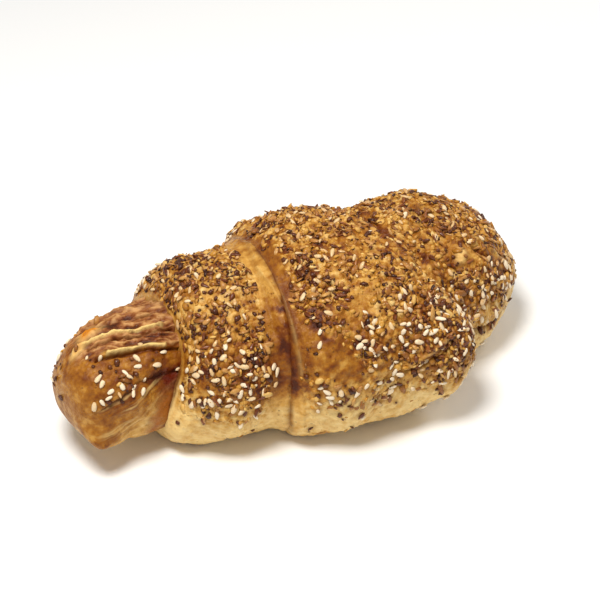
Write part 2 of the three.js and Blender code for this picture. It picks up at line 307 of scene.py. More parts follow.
def gapToWrap(wrap, points):
    # the same formulas read backwards: how far a point lies outside a wrap, below 0 where it is inside
    radius = roll["bendRadius"]
    east, north = points[..., 0] - roll["shift"][0], points[..., 1] - roll["shift"][1] + radius
    x = np.arctan2(east, north) * radius
    y = np.hypot(east, north) - radius - wrap["aside"] - swingBack(wrap, x)
    z = points[..., 2] - wrap["axisHeight"]
    width, height = halfSection(wrap, x)
    power = np.where(z < 0, roll["lowSquareness"], 1.0)
    across, upright = (np.abs(y) / width) ** (1 / power), (np.abs(z) / height) ** (1 / power)
    fill = np.hypot(across, upright) ** power
    turn = np.arctan2(-np.sign(y) * across, -np.sign(z) * upright)
    left, right = wrapEnds(wrap, turn, np.clip(fill, 0, 1))
    share = (x - (left + right) / 2) / ((right - left) / 2)
    square = np.where(share < 0, *wrap["squareness"])
    level = (np.abs(share) ** square + fill**square) ** (1 / square)
    return (level - 1) * np.minimum(width, height)


def along(fold, x, turn, radius):  # the distance in millimetres from a straight fold laid on the crust
    x0, turn0, x1, turn1 = fold[:4]
    runX, runTurn = x1 - x0, turn1 - turn0
    share = np.clip(((x - x0) * runX + (turn - turn0) * runTurn) / (runX**2 + runTurn**2), 0, 1)
    offX = x - x0 - runX * share
    offRound = np.radians(turn - turn0 - runTurn * share) * radius
    return np.hypot(offX, offRound)


def mound(place, x, turn):  # a soft rise or spot: the product of a bell in x and a bell in turn
    x0, turn0, spreadX, spreadTurn, height = place
    return height * bell((x - x0) / spreadX) * bell((turn - turn0) / spreadTurn)


def middleRadius(wrap):
    return (wrap["halfWidth"][0] + wrap["halfHeight"][0]) / 2


def wander(x, turn):  # the degrees by which a fold strays from its straight line
    return 2.2 * patternNoise(x, turn, 5.0, 16.0, 7)


def broadRelief(wrap, x, turn):
    # the forms that the solid has too: folds, swells and two crossed waves; turn in degrees
    total = np.zeros(x.shape)
    strayed = turn + wander(x, turn)
    uneven = 1 + 0.5 * patternNoise(x, turn, 4.0, 30.0, 8)
    for fold in wrap["folds"]:
        total += fold[5] * uneven * bell(along(fold, x, strayed, middleRadius(wrap)) / fold[4])
    for swell in wrap["swells"]:
        total += mound(swell, x, turn)
    (a, b), (m, n) = roll["wavesAlong"], roll["wavesRound"]
    total += roll["waveHeight"] * np.sin(a * x + 1) * np.sin(np.radians(m * turn) + 2)
    total += roll["waveHeight"] * np.sin(b * x + 4) * np.sin(np.radians(n * turn))
    return total


# lumps, crumbs and blister: the size and height of what is buried in the crust; the roughnesses are shares
crust = {
    "lumps": (2.8, 0.90), "crumbs": (1.4, 0.50), "blister": (4.5, 0.42), "bareRoughness": 0.22,
    "tipRoughness": 0.4, "sunk": 0.55, "strand": 1.3, "underStep": 1.0, "underStepAt": (-84, -74),
    "underRelief": 0.35, "creaseFill": 1.7, "creaseWidth": 2.3, "capFade": 0.5,
}
# where seeds lie: bands of turn, ranges of x or gap, and shares; the bare strip and ridge as in clearOf
dipping = {
    "thick": (68, 110, 256, 286), "thin": (35, 70, 280, 320), "thinShare": 0.05,
    "tipFront": (88, 100), "tipTorn": (137, 131), "tipEnd": (-86, -80), "tipShare": 0.10,
    "tipBack": (208, 228, 245, 262), "backShare": 0.5,
    "strip": (6.0, 1.2, 0.7, 43), "ridge": (3.6, 1.5, 0.8, 44), "besideTip": (1.5, 3),
    "lowCoil": 0.8, "lowCoilGap": (4.5, 3.0), "lowCoilTurn": (150, 140),
    "patchSize": 8, "patchLeast": 0.35, "patchRange": (-0.35, 0.25), "mostMissing": 0.97,
}
# where the flap over the lower layer of the left tip ends: x and turn
flapEdge = ((-88, 92), (-82.4, 102), (-78, 111), (-71, 115), (-66, 119), (-59, 117), (-44, 111))
# darker or paler places on a wrap: x, turn, spread in millimetres and strength
toasted = {
    "leftTip": (
        (-71.5, 122, 3.4, 0.26), (-82, 196, 2.2, 0.4), (-76, 171, 1.6, 0.4), (-87, 60, 3.0, 0.5),
        # (-59, 115) and (-54, 112) are painted shade in the crevice along the flap's edge
        (-55, 158, 2.6, 0.35), (-59, 115, 2.8, 0.45), (-54, 112, 3.4, 0.6), (-62, 196, 4, 0.2),
    ),
    "leftCoil": (
        (-46.3, 113, 2.8, 0.55), (-30.5, 116, 2.6, 0.4), (-30.6, 95, 2.4, 0.35), (-30, 186, 3, 0.4),
        (-40, 150, 3, 0.3), (-16.5, 142, 2.3, 0.6), (-17.3, 130, 2.0, 0.45), (-18, 120, 2.5, 0.6),
        (-47, 190, 3, 0.35), (-22, 100, 3, 0.3),
    ),
    "middle": (
        (-4.2, 157, 3.0, 0.9), (-6, 135, 3.2, 1.0), (-4.6, 124, 2.4, 0.4), (-11.5, 185, 3.0, 0.25),
        (-13.5, 208, 2.4, 0.25), (35.3, 129, 3.2, 0.5), (22.3, 151, 2.6, 0.4), (7.8, 119, 3, 0.35),
        (-3, 107, 9, -0.18), (11.9, 72, 1.6, 0.5), (-7.2, 51, 2.5, 0.5), (-5.2, 62, 1.5, 0.4),
        (12, 172, 3, 0.3), (24, 168, 3, 0.3), (6, 235, 4, 0.4), (22, 215, 4, 0.4), (-17.5, 90, 2.6, 0.6),
        (-17.8, 101, 2.2, 0.45), (28, 140, 3, 0.3),
    ),
    "rightCoil": ((38, 185, 3, 0.3), (50, 225, 4, 0.35)),
    "rightTip": (
        (62, 148, 2.4, 0.4), (62, 122, 3, 0.35), (70, 100, 3, 0.3), (66, 170, 3, 0.35),
        (65.5, 75, 2.6, 0.9), (61, 76, 2.2, 0.6),
    ),
}
# places where few seeds fell: x, turn, spread in millimetres and the share that is missing
sparse = {
    "leftCoil": (
        (-48.5, 104, 3.5, 0.85), (-48, 132, 3, 0.7), (-36, 176, 4, 0.5), (-42, 150, 5, 0.55),
        (-38, 108, 4, 0.4), (-31, 188, 8, 0.35),
    ),
    "middle": (
        (-9, 116, 9, 0.95), (-13, 130, 5, 0.85), (-3, 108, 8, 0.9), (8, 137, 5.5, 0.85),
        (13.7, 142, 5, 0.85), (-14, 186, 5, 0.6), (18, 158, 4, 0.4), (28, 103, 8, 0.5), (2, 100, 9, 0.6),
        (30, 180, 4, 0.4), (-15, 214, 6, 0.8), (-5, 226, 6, 0.5),
    ),
    "rightCoil": (
        (35, 211, 5, 0.75), (48, 174, 4, 0.5), (44, 190, 3, 0.5), (52, 205, 7, 0.7), (63, 190, 5, 0.5),
    ),
    "rightTip": (
        (53.5, 149, 3, 0.97), (57.5, 149, 3.5, 0.9), (64, 144, 3, 0.8), (68, 133, 3, 0.8), (64, 92, 5, 0.5),
    ),
}
# places where bran lies thick: x, turn, spread in millimetres and its share
thick = {
    "leftTip": ((-71.5, 122, 3.4, 0.9), (-84, 204, 3.5, 0.6), (-77, 171, 2.0, 0.5)),
    "leftCoil": ((-42, 190, 5, 0.3), (-27, 126, 3, 0.4), (-28, 105, 3, 0.35)),
    "middle": ((-6, 157, 3, 0.5), (8, 112, 4, 0.3), (-11, 186, 2.5, 0.7)),
}
spotBend = {"by": 1.3, "size": (2.4, 4.5), "seeds": (91, 93)}


def spots(places, name, x, turn):  # the sum of the soft spots of a wrap, their outlines bent by a noise
    total = np.zeros(x.shape)
    radius = middleRadius(wraps[name])
    bentX, bentRound = (
        spotBend["by"] * patternNoise(x, turn, *spotBend["size"], seed) for seed in spotBend["seeds"]
    )
    for x0, turn0, size, strength in places.get(name, ()):
        across = np.radians(turn - turn0) * radius
        total += strength * bell(np.hypot(x - x0 + bentX, across + bentRound) / size)
    return total


def crustGrid(name):
    # a closed barrel on a grid of slopes and turns, with fine relief worked out on whole arrays
    wrap = wraps[name]
    n, m = gridSteps["along"], gridSteps["round"]
    slope = np.radians(np.interp(np.linspace(0, 1, n + 2)[1:-1], *zip(*wrap["slopeKnots"])))[:, None]
    degrees = np.interp(np.arange(m) / m, *zip(*gridSteps["turnKnots"]))[None, :] % 360
    turn = np.radians(degrees)
    x, fill = wrapReach(wrap, slope, turn)
    degrees = np.broadcast_to(degrees, x.shape)
    plain = wrapPlace(wrap, x, fill, turn, 0)
    gaps = {key: gapToWrap(other, plain) for key, other in wraps.items() if key != name}
    creased = [gap for key, gap in gaps.items() if key != blendsWith.get(name)]
    grid = SimpleNamespace(
        name=name, x=x, turn=degrees, fill=fill, plain=plain, gaps=gaps, shade=np.zeros(x.shape),
        gap=np.min(list(gaps.values()), axis=0), crease=np.min(creased, axis=0),
    )
    grid.dipped = dippedShare(grid)
    grid.lump, grid.lumpTone = buriedGrains(plain, crust["lumps"][0], 11)
    crumb, grid.crumbTone = buriedGrains(plain, crust["crumbs"][0], 17)
    dippedRoughness = crust["tipRoughness"] if name == "leftTip" else 1.0
    grid.rough = crust["bareRoughness"] + np.sqrt(grid.dipped) * dippedRoughness
    bump = broadRelief(wrap, x, degrees) - crust["sunk"] * grid.dipped
    bump += crust["blister"][1] * layeredNoise(plain, crust["blister"][0], 3)
    bump += (crust["lumps"][1] * grid.lump + crust["crumbs"][1] * crumb) * grid.rough
    if name in deepCrease:
        bump += crust["creaseFill"] * bell(gaps[deepCrease[name]] / crust["creaseWidth"])
    grid.streak = strandNoise(x, degrees)
    if name == "leftTip":
        bump += crust["strand"] * (grid.streak - 0.5) * strandShare(x, degrees)
        step = crust["underStep"] * ease(*crust["underStepAt"], x)
        bump += underShare(x, degrees) * (crust["underRelief"] * underNoise(x, degrees) - step)
    grid.places = wrapPlace(wrap, x, fill, turn, bump * ease(0, crust["capFade"], fill))
    start = np.zeros(1)
    grid.ends = [wrapPlace(wrap, *wrapReach(wrap, start + end, start), start, 0) for end in (0, math.pi)]
    lift = gridSteps["lift"] * list(wraps).index(name)
    for points in (grid.places, *grid.ends):
        points[..., 2] = np.maximum(points[..., 2], lift)
    return grid


def strandLine(x, turn):  # the torn strands of the left tip run where this stays the same
    return turn + 1.25 * (x + 50)


def strandShare(x, turn):  # where the torn layers of the left tip show: above the lower crevice
    return ease(134, 141, strandLine(x, turn)) * ease(262, 240, turn) * ease(-85, -77, x)


def strandNoise(x, turn):
    # ridged noise, 0 to 1: 1 on sharp crests along the strands, in a broad and a fine layer, and torn bits
    line = strandLine(x, turn) + 4.5 * patternNoise(x, turn, 6, 18, 25)
    broad = 1 - 2.4 * np.abs(patternNoise(x, line, 12, 9, 21, 2))
    fine = 1 - 2.4 * np.abs(patternNoise(x, line, 5, 3.6, 23, 2))
    torn = patternNoise(x, line, 1.5, 2.6, 27, 2)
    return np.clip(0.50 * broad + 0.40 * fine + 0.32 * torn, 0, 1)


def underShare(x, turn):  # the layer below the flap on the left tip
    edge = np.interp(x, *zip(*flapEdge)) + 1.5 * patternNoise(x, turn, 4, 40, 33)
    return ease(edge + 2, edge - 2, turn) * ease(-87, -81, x) * ease(15, 40, turn)


def underNoise(x, turn):  # streaks that rise to the right
    return patternNoise(x, turn - 1.05 * (x + 60) + 2 * patternNoise(x, turn, 5, 15, 35), 16, 5, 31)


def clearOf(gap, x, turn, width, wavers, edge, seed):  # 0 within a wavering width of another wrap, 1 beyond
    line = width + wavers * patternNoise(x, turn, 30, 12, seed)
    return ease(line - edge, line + edge, gap)


def dippedShare(grid):
    # how thickly seeds lie, 0 to 1: thick on top, thin low down, bare beside the creases
    name, x, turn, gaps, d = grid.name, grid.x, grid.turn, grid.gaps, dipping
    if name == "leftTip":
        front = ease(*d["tipFront"], turn) * ease(*d["tipTorn"], strandLine(x, turn))
        front = d["tipShare"] * (front * (1 - underShare(x, turn))) * ease(*d["tipEnd"], x)
        return front + d["backShare"] * band(*d["tipBack"], turn) + spots(thick, name, x, turn)
    share = band(*d["thick"], turn) + d["thinShare"] * band(*d["thin"], turn)
    if name == "leftCoil":
        share *= clearOf(gaps["middle"], x, turn, *d["strip"])
        share *= ease(*d["besideTip"], gaps["leftTip"])
    if name == "middle":
        share *= clearOf(gaps["leftCoil"], x, turn, *d["ridge"])
    if name == "rightCoil":
        share *= 1 - d["lowCoil"] * ease(*d["lowCoilGap"], gaps["middle"]) * ease(*d["lowCoilTurn"], turn)
    patch = ease(*d["patchRange"], layeredNoise(grid.plain, d["patchSize"], 41, 2))
    share *= d["patchLeast"] + (1 - d["patchLeast"]) * patch
    missing = np.clip(spots(sparse, name, x, turn), 0, d["mostMissing"])
    share = share * (1 - missing) + spots(thick, name, x, turn)
    return np.clip(share, 0, 1) * ease(-0.2, 0.2, grid.gap) * ease(0, 1, grid.crease)


# colours as seen on a screen; the stops go from pale dough (0) to dark toast (1)
crustPaint = {
    "bakeStops": (
        (0.0, (238, 204, 134)), (0.28, (208, 157, 74)), (0.5, (163, 104, 28)), (0.72, (118, 60, 8)),
        (0.88, (94, 42, 8)), (1.0, (74, 30, 8)),
    ),
    # the strand ramp paints its crests pale and its grooves dark: real torn layers with painted highlight
    # and shade
    "strandLitAndShadedStops": (
        (0.08, (56, 20, 8)), (0.34, (108, 52, 22)), (0.56, (150, 92, 48)), (0.9, (208, 158, 100)),
    ),
    "colours": {
        # crevice is the colour of painted shade in creases, grooves and round seeds
        "crevice": (92, 38, 10), "cheese": (242, 208, 132), "orange": (208, 126, 14),
        # caramel is caramelised cheese darkened with painted shade, deep in the crevice
        "caramel": (104, 26, 0), "pore": (104, 54, 16),
    },
    "cover": {"strand": 0.9, "pore": 0.5, "caramel": 0.95, "cheese": 1.0, "crevice": 0.85},
    "mottleSize": 3.0, "poreSize": 1.4, "swing": 0.75, "strandSwing": 1.2,
    "roughness": (0.32, 0.50), "bumpStrength": 0.8, "bumpDepth": 0.0005, "specular": 0.22,
}
# what each cause adds to bake, including painted shade (crease, shoulder) and painted sheen (crown), and the
# heights or gaps in millimetres where it starts and is full
bakingAndShading = {
    "dough": 0.06, "risen": 0.46, "risenAt": (13, 41), "risenSwing": 4, "mottle": 0.14, "dippedMottle": 0.08,
    "dippedPatch": 0.20, "dippedAll": 0.02, "dippedLump": 0.12, "toneFrom": 0.18, "lumpTone": 0.30,
    "crumbTone": 0.20, "crease": 0.08, "creaseWidth": 4.0, "patch": 0.05, "base": 0.30, "baseAt": (2.0, 0.3),
    "shoulderShade": 0.14, "shoulderShadeAt": 31, "shoulderShadeSpread": 9, "crownSheen": 0.05, "crownSheenAt": (46, 53),
    "rim": (0.25, 0.75), "spotLeast": 0.65, "spotSwing": 1.6, "besideCoil": 0.13, "besideCoilAt": (2.8, 2.4),
    "besideCoilTurn": (130, 150),
}
always = (-1e9, -1e8)  # a range that every gap and turn is past
# paler or browner bands: how much, the wrap beside them (crease is any), and the ranges of gap and turn
tints = {
    "leftCoil": (
        # the -0.13 band on the coil's top is painted sheen: paler where the overhead light falls
        (-0.20, "leftTip", (2.2, 1.0), always), (-0.13, "crease", always, (130, 155)),
        (-0.05, "middle", (7.0, 3.0), (215, 150)),
    ),
    "middle": ((0.12, "leftCoil", (4.5, 1.5), (85, 110)),),
    "rightCoil": ((-0.16, "crease", (5.0, 2.5), (152, 142)), (0.17, "crease", (4.5, 1.0), (150, 165))),
    "rightTip": ((0.17, "crease", (4.5, 1.0), (150, 165)),),
}
# painted crevice shade: its width, how much a noise thins it, and how dark the painted shade round a seed
# and in a fold is
creviceShadeMarks = {"width": 0.75, "even": 0.6, "swing": 1.2, "least": 0.15, "shade": 0.6, "deepest": 2.0}
# marks of the left tip: mounds as in swells, bands of turn, and ranges of x, gap or height
tipMarks = {
    "melted": (-72.4, 200, 3.4, 7, 1.0), "wedge": (-78.5, 191, 2.4, 4.5, 1.0),
    "caramelShadeGap": (9.5, 4.0), "caramelShadeTurn": (40, 58, 116, 126),
    "streaks": 0.6, "streakRange": (0.05, 0.5), "streakFrom": (62, 76),
    "corner": 0.24, "cornerX": (-66, -80), "cornerTurn": (35, 60, 92, 112),
    "sideX": (-74, -82), "sideHeight": (1, 12), "sideBake": 0.47, "sideMost": 0.3,
}
lumpMarks = {"lump": (53.5, 149, 1.6, 4, 2.0), "orange": 0.3, "halo": (59, 149, 5, 7, 0.14)}


def crustColours(grid):
    # bake: 0 pale dough to 1 dark toast, with painted shade and painted sheen added. crevice (painted
    # shade), cheese, orange, caramel (with painted shade) and strand: 0 to 1 masks
    name, x, turn, places, gaps = grid.name, grid.x, grid.turn, grid.places, grid.gaps
    wrap, height, dipped, b, c = wraps[name], places[..., 2], grid.dipped, bakingAndShading, creviceShadeMarks
    gap = np.maximum(grid.crease, 0)
    mottle, patch = layeredNoise(places, 13, 51), layeredNoise(places, 3.5, 56)
    rim = ease(*b["rim"], grid.fill)
    bake = b["dough"] + b["risen"] * ease(*b["risenAt"], height + b["risenSwing"] * mottle)
    bake += (b["mottle"] + b["dippedMottle"] * dipped) * mottle
    bake += dipped * (b["dippedPatch"] * patch - b["dippedAll"] - b["dippedLump"] * grid.lump)
    tone = b["lumpTone"] * grid.lumpTone * grid.lump + b["crumbTone"] * grid.crumbTone
    bake += (grid.rough - b["toneFrom"]) * tone
    # painted shade: darker near the creases between wraps
    bake += b["crease"] * bell(gap / b["creaseWidth"]) + b["patch"] * patch
    uneven = b["spotLeast"] + b["spotSwing"] * layeredNoise(places, 1.8, 53)
    bake += rim * spots(toasted, name, x, turn) * uneven
    # the crown term is painted sheen: paler on top, where the overhead light falls
    bake += b["base"] * ease(*b["baseAt"], height) - b["crownSheen"] * ease(*b["crownSheenAt"], height)
    # painted shade: darker round mid height, on the slopes that face the front, away from the overhead light
    bake += b["shoulderShade"] * bell((height - b["shoulderShadeAt"]) / b["shoulderShadeSpread"])
    # crevice: painted shade where wraps meet, round each piece (from grid.shade) and in the grooves of folds
    broken = np.clip(c["even"] + c["swing"] * layeredNoise(places, 4, 55, 2), c["least"], 1)
    crevice = np.maximum(bell(gap / c["width"]) * broken, c["shade"] * grid.shade)
    cheese = np.zeros(x.shape)
    strayed = turn + wander(x, turn)
    for fold in wrap["folds"]:
        near = bell(along(fold, x, strayed, middleRadius(wrap)) / (fold[4] * 0.95))
        if fold[5] < 0:
            crevice = np.maximum(crevice, near * min(-fold[5] / c["deepest"], 1))
        cheese = np.maximum(cheese, fold[6] * near)
    cheese = cheese * np.clip(0.7 + 1.5 * patternNoise(x, turn, 2.6, 12, 57), 0.0, 1)
    masks = {"bake": bake, "crevice": crevice, "cheese": cheese, "streak": grid.streak}
    for key in ("orange", "caramel", "strand"):
        masks[key] = np.zeros(x.shape)
    if name == "leftTip":
        colourTip(grid, masks, gap, patch, rim)
    for amount, beside, gapRange, turnRange in tints.get(name, ()):
        bake += amount * ease(*gapRange, gaps.get(beside, gap)) * ease(*turnRange, turn)
    if name == "middle":
        at, reach = b["besideCoilAt"]
        bake -= b["besideCoil"] * bell((gaps["rightCoil"] - at) / reach) * ease(*b["besideCoilTurn"], turn)
    if name == "rightTip":
        lump = np.clip(mound(lumpMarks["lump"], x, turn) * (0.9 + 1.2 * patch), 0, 1)
        masks["cheese"] = np.maximum(cheese, lump)
        masks["orange"] = lumpMarks["orange"] * lump
        bake -= mound(lumpMarks["halo"], x, turn)
    return masks


def colourTip(grid, masks, gap, patch, rim):
    # the torn strands, melted cheese, caramel darkened with painted shade, and streaks of the left tip, and
    # its browned side and corner
    x, turn, places, t = grid.x, grid.turn, grid.places, tipMarks
    under, streaky = underShare(x, turn), underNoise(x, turn)
    masks["strand"] = strandShare(x, turn)
    melted, wedge = mound(t["melted"], x, turn), mound(t["wedge"], x, turn)
    # caramel: caramelised cheese with painted shade, deep in the crevice next to the coil
    caramel = ease(*t["caramelShadeGap"], gap + 2.0 * patch) * band(*t["caramelShadeTurn"], turn)
    masks["caramel"] = caramel * np.clip(0.9 + 0.7 * layeredNoise(places, 4, 58, 2), 0.3, 1)
    streaks = t["streaks"] * under * ease(*t["streakRange"], streaky) * ease(*t["streakFrom"], turn)
    streaks *= 1 - 0.85 * caramel
    cheese = np.maximum(np.maximum(masks["cheese"], streaks), 1.9 * np.maximum(melted, wedge))
    masks["cheese"] = np.maximum(np.clip(cheese, 0, 1), 0.38 * masks["caramel"] * ease(98, 84, turn))
    orange = np.clip(1.5 * melted + 0.6 * wedge + 0.25 * streaks, 0, 1)
    masks["orange"] = np.maximum(orange, 0.9 * caramel * ease(100, 88, turn))
    corner = ease(*t["cornerX"], x) * band(*t["cornerTurn"], turn)
    side = ease(*t["sideX"], x) * ease(*t["sideHeight"], places[..., 2]) * (1 - under)
    masks["bake"] += under * (0.20 + 0.2 * streaky) + t["corner"] * corner * rim
    masks["bake"] += side * np.clip(t["sideBake"] - masks["bake"], 0.0, t["sideMost"])


def makeCrust(grid, material):
    # rings of quads, closed by a fan of triangles at each end
    places = grid.places
    n, m = places.shape[:2]
    rows, columns = np.arange(n - 1)[:, None], np.arange(m)[None, :]
    onward = (columns + 1) % m
    low, high = rows * m, (rows + 1) * m
    quads = np.stack([low + columns, high + columns, high + onward, low + onward], axis=-1).reshape(-1, 4)
    ring, after, last = columns[0], onward[0], (n - 1) * m
    fans = np.concatenate([
        np.stack([np.full(m, n * m), ring, after], axis=-1),
        np.stack([np.full(m, n * m + 1), last + after, last + ring], axis=-1),
    ])
    points = np.concatenate([places.reshape(-1, 3), *grid.ends])
    masks = crustColours(grid)
    masks = {key: np.append(values, [values[0, 0], values[-1, 0]]) for key, values in masks.items()}
    piece = makeMesh("crust" + grid.name[0].upper() + grid.name[1:], points, [quads, fans], **masks)
    piece.data.materials.append(material)
    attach(piece, body)
    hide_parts(node)


def linear(colour):  # a colour as seen on a screen, 0 to 255, to the values a shader takes
    shares = [v / 255 for v in colour]
    return tuple(v / 12.92 if v <= 0.04045 else ((v + 0.055) / 1.055) ** 2.4 for v in shares) + (1,)


def paint(name):
    return linear(crustPaint["colours"][name])


def setInputs(tree, node, values):
    # links each input or sets it. Inputs are named as in Blender, or with _0, _1 and so on for their order
    for key, value in values.items():
        socket = node.inputs[int(key[1:]) if key[0] == "_" else key]
        if isinstance(value, bpy.types.NodeSocket):
            tree.links.new(value, socket)
        else:
            socket.default_value = value


def newNode(tree, kind, settings={}, **inputs):
    made = tree.nodes.new(kind)
    for key, value in settings.items():
        setattr(made, key, value)
    setInputs(tree, made, inputs)
    return made


def maths(tree, operation, a, b=0.0, clamp=False):
    settings = {"operation": operation, "use_clamp": clamp}
    return newNode(tree, "ShaderNodeMath", settings, _0=a, _1=b).outputs[0]


def times(tree, a, b):
    return maths(tree, "MULTIPLY", a, b)


def swung(tree, value, share):  # how far a noise is from its middle, times a share
    return times(tree, maths(tree, "SUBTRACT", value, 0.5), share)


def spread(tree, value, low, high, toLow=0.0, toHigh=1.0):  # eases value from low..high to toLow..toHigh
    settings = {"interpolation_type": "SMOOTHSTEP"}
    made = newNode(tree, "ShaderNodeMapRange", settings, _0=value, _1=low, _2=high, _3=toLow, _4=toHigh)
    return made.outputs[0]


def blended(tree, share, first, second):
    made = newNode(tree, "ShaderNodeMix", {"data_type": "RGBA"}, _0=share, _6=first, _7=second)
    return made.outputs[2]


def ramp(tree, value, stops):
    made = newNode(tree, "ShaderNodeValToRGB", Fac=value)
    elements = made.color_ramp.elements
    while len(elements) < len(stops):
        elements.new(0.5)
    for element, (place, colour) in zip(elements, stops):
        element.position, element.color = place, linear(colour)
    return made.outputs[0]


def noise(tree, place, scale, detail, roughness=0.55):
    settings = {"Vector": place, "Scale": scale, "Detail": detail, "Roughness": roughness}
    return newNode(tree, "ShaderNodeTexNoise", **settings).outputs[0]


def attribute(tree, name):
    return newNode(tree, "ShaderNodeAttribute", {"attribute_name": name}).outputs["Fac"]


# noises: scale for one metre (not for the mottle), detail and roughness; pores; and what makes the height
bakedGrain = {
    "mottle": (4.0, 0.6), "fine": (1900.0, 3.0, 0.6), "pick": (420.0, 2.0),
    "poreRange": (0.32, 0.12), "pickRange": (0.5, 0.62),
    "mottleHeight": 0.6, "fineHeight": 0.5, "poreDepth": 0.5, "cellDepth": 0.45,
}


def makeBakedGrain():
    # shared by every baked surface: soft mottling, small dark pores and a fine bump height
    group, g = bpy.data.node_groups.new("bakedGrain", "ShaderNodeTree"), bakedGrain
    sockets = {"INPUT": ("Place", "Mottle Size", "Pore Size"), "OUTPUT": ("Mottle", "Pores", "Height")}
    for direction, names in sockets.items():
        for name in names:
            kind = "NodeSocketVector" if name == "Place" else "NodeSocketFloat"
            group.interface.new_socket(name=name, in_out=direction, socket_type=kind)
    start, end = newNode(group, "NodeGroupInput"), newNode(group, "NodeGroupOutput")
    place = start.outputs["Place"]
    coarse, porous = (maths(group, "DIVIDE", 1 / mm, start.outputs[name]) for name in sockets["INPUT"][1:])
    mottle = noise(group, place, coarse, *g["mottle"])
    fine = noise(group, place, *g["fine"])
    cells = newNode(group, "ShaderNodeTexVoronoi", Vector=place, Scale=porous).outputs["Distance"]
    picked = spread(group, noise(group, place, *g["pick"]), *g["pickRange"])
    pores = times(group, spread(group, cells, *g["poreRange"]), picked)
    height, rough = times(group, mottle, g["mottleHeight"]), times(group, fine, g["fineHeight"])
    height = maths(group, "ADD", height, rough)
    height = maths(group, "SUBTRACT", height, times(group, pores, g["poreDepth"]))
    height = maths(group, "SUBTRACT", height, times(group, cells, g["cellDepth"]))
    setInputs(group, end, {"Mottle": mottle, "Pores": pores, "Height": height})
    return group


def startMaterial(name, grain, look):  # a material and the mottling, pores and height of its baked skin
    material = bpy.data.materials.new(name)
    material.use_nodes = True
    tree = material.node_tree
    place = newNode(tree, "ShaderNodeTexCoord").outputs["Object"]
    sizes = {"Mottle Size": look["mottleSize"], "Pore Size": look["poreSize"]}
    skin = newNode(tree, "ShaderNodeGroup", {"node_tree": grain}, Place=place, **sizes)
    return material, tree, skin.outputs


def finishMaterial(material, skin, colour, roughness, look):
    # the roughness follows the mottling, between the two values given
    tree = material.node_tree
    bump = {"Strength": look["bumpStrength"], "Distance": look["bumpDepth"], "Height": skin["Height"]}
    setInputs(tree, tree.nodes["Principled BSDF"], {
        "Base Color": colour, "Roughness": spread(tree, skin["Mottle"], 0.3, 0.7, *roughness),
        "Normal": newNode(tree, "ShaderNodeBump", **bump).outputs[0], "Specular IOR Level": look["specular"],
    })
    return material


def makeCrustMaterial(grain):
    material, tree, skin = startMaterial("bakedCrust", grain, crustPaint)
    swing = swung(tree, skin["Mottle"], crustPaint["swing"])
    baked = maths(tree, "ADD", attribute(tree, "bake"), swing, clamp=True)
    colour = ramp(tree, baked, crustPaint["bakeStops"])
    swing = times(tree, swing, crustPaint["strandSwing"])
    torn = maths(tree, "ADD", attribute(tree, "streak"), swing, clamp=True)
    coats = {  # each over the ones before
        "strand": ramp(tree, torn, crustPaint["strandLitAndShadedStops"]),
        "pore": paint("pore"), "caramel": paint("caramel"),
        "cheese": blended(tree, attribute(tree, "orange"), paint("cheese"), paint("orange")),
        "crevice": paint("crevice"),
    }
    for key, coat in coats.items():
        mask = skin["Pores"] if key == "pore" else attribute(tree, key)
        colour = blended(tree, times(tree, mask, crustPaint["cover"][key]), colour, coat)
    return finishMaterial(material, skin, colour, crustPaint["roughness"], crustPaint)


# each kind: its length, width and thickness and how much they vary, its faces round and along (none: a crumb
# of twenty sides), how far it narrows to a point, how deep it is sunk as a share of its thickness, the room
# between two, how high it may lie on others, how far its painted contact shade reaches on the crust, and its
# tones from light to dark
seedKind = {"faces": (6, 5), "varies": 0.16, "sink": 0.3, "uneven": 0.08, "stack": 0.3, "roughness": 0.32}
crumbKind = {"faces": None, "point": 0.0, "room": 0.0, "stack": 0.3, "roughness": 0.36, "shadeReach": 0.0}
sesame = {
    **seedKind, "name": "sesameSeeds", "count": 720, "size": (2.75, 1.85, 1.0), "point": 0.42, "room": 1.8,
    "shadeReach": 1.15, "seed": 101,
    "tones": ((0.0, (244, 226, 196)), (0.4, (228, 196, 146)), (0.75, (196, 142, 76)), (1.0, (156, 94, 38))),
}
flax = {
    **seedKind, "name": "flaxSeeds", "count": 260, "size": (3.4, 1.8, 0.9), "varies": 0.12, "point": 0.5,
    "room": 1.9, "shadeReach": 1.2, "seed": 102,
    "tones": ((0.0, (150, 88, 40)), (0.5, (110, 54, 20)), (1.0, (64, 28, 10))),
}
branFlakes = {
    **crumbKind, "name": "branFlakes", "count": 1100, "size": (2.9, 1.3, 0.45), "varies": 0.3, "sink": 0.3,
    "uneven": 0.25, "stack": 0.4, "roughness": 0.38, "shadeReach": 1.0, "seed": 106,
    "tones": ((0.0, (210, 160, 88)), (0.5, (160, 102, 42)), (1.0, (92, 46, 14))),
}
branChips = {
    **crumbKind, "name": "branChips", "count": 2700, "size": (1.4, 0.95, 0.55), "varies": 0.42, "sink": 0.38,
    "uneven": 0.3, "shadeReach": 0.85, "seed": 103,
    "tones": ((0.0, (136, 78, 32)), (0.5, (90, 44, 16)), (1.0, (54, 22, 8))),
}
goldenGrains = {
    **crumbKind, "name": "goldenGrains", "count": 2100, "size": (1.95, 1.2, 0.7), "varies": 0.32,
    "sink": 0.5, "uneven": 0.26, "stack": 0.25, "seed": 104,
    "tones": ((0.0, (230, 188, 108)), (0.35, (202, 148, 60)), (0.75, (162, 104, 28)), (1.0, (118, 66, 14))),
}
cheeseCrumbs = {
    **crumbKind, "name": "cheeseCrumbs", "count": 40, "size": (2.4, 1.5, 0.8), "varies": 0.25,
    "faces": (7, 5), "point": 0.1, "sink": 0.4, "room": 3.0, "uneven": 0.2, "stack": 0.2, "roughness": 0.40,
    "seed": 105,
    "tones": ((0.0, (232, 200, 130)), (0.5, (216, 174, 96)), (1.0, (196, 142, 64))),
}
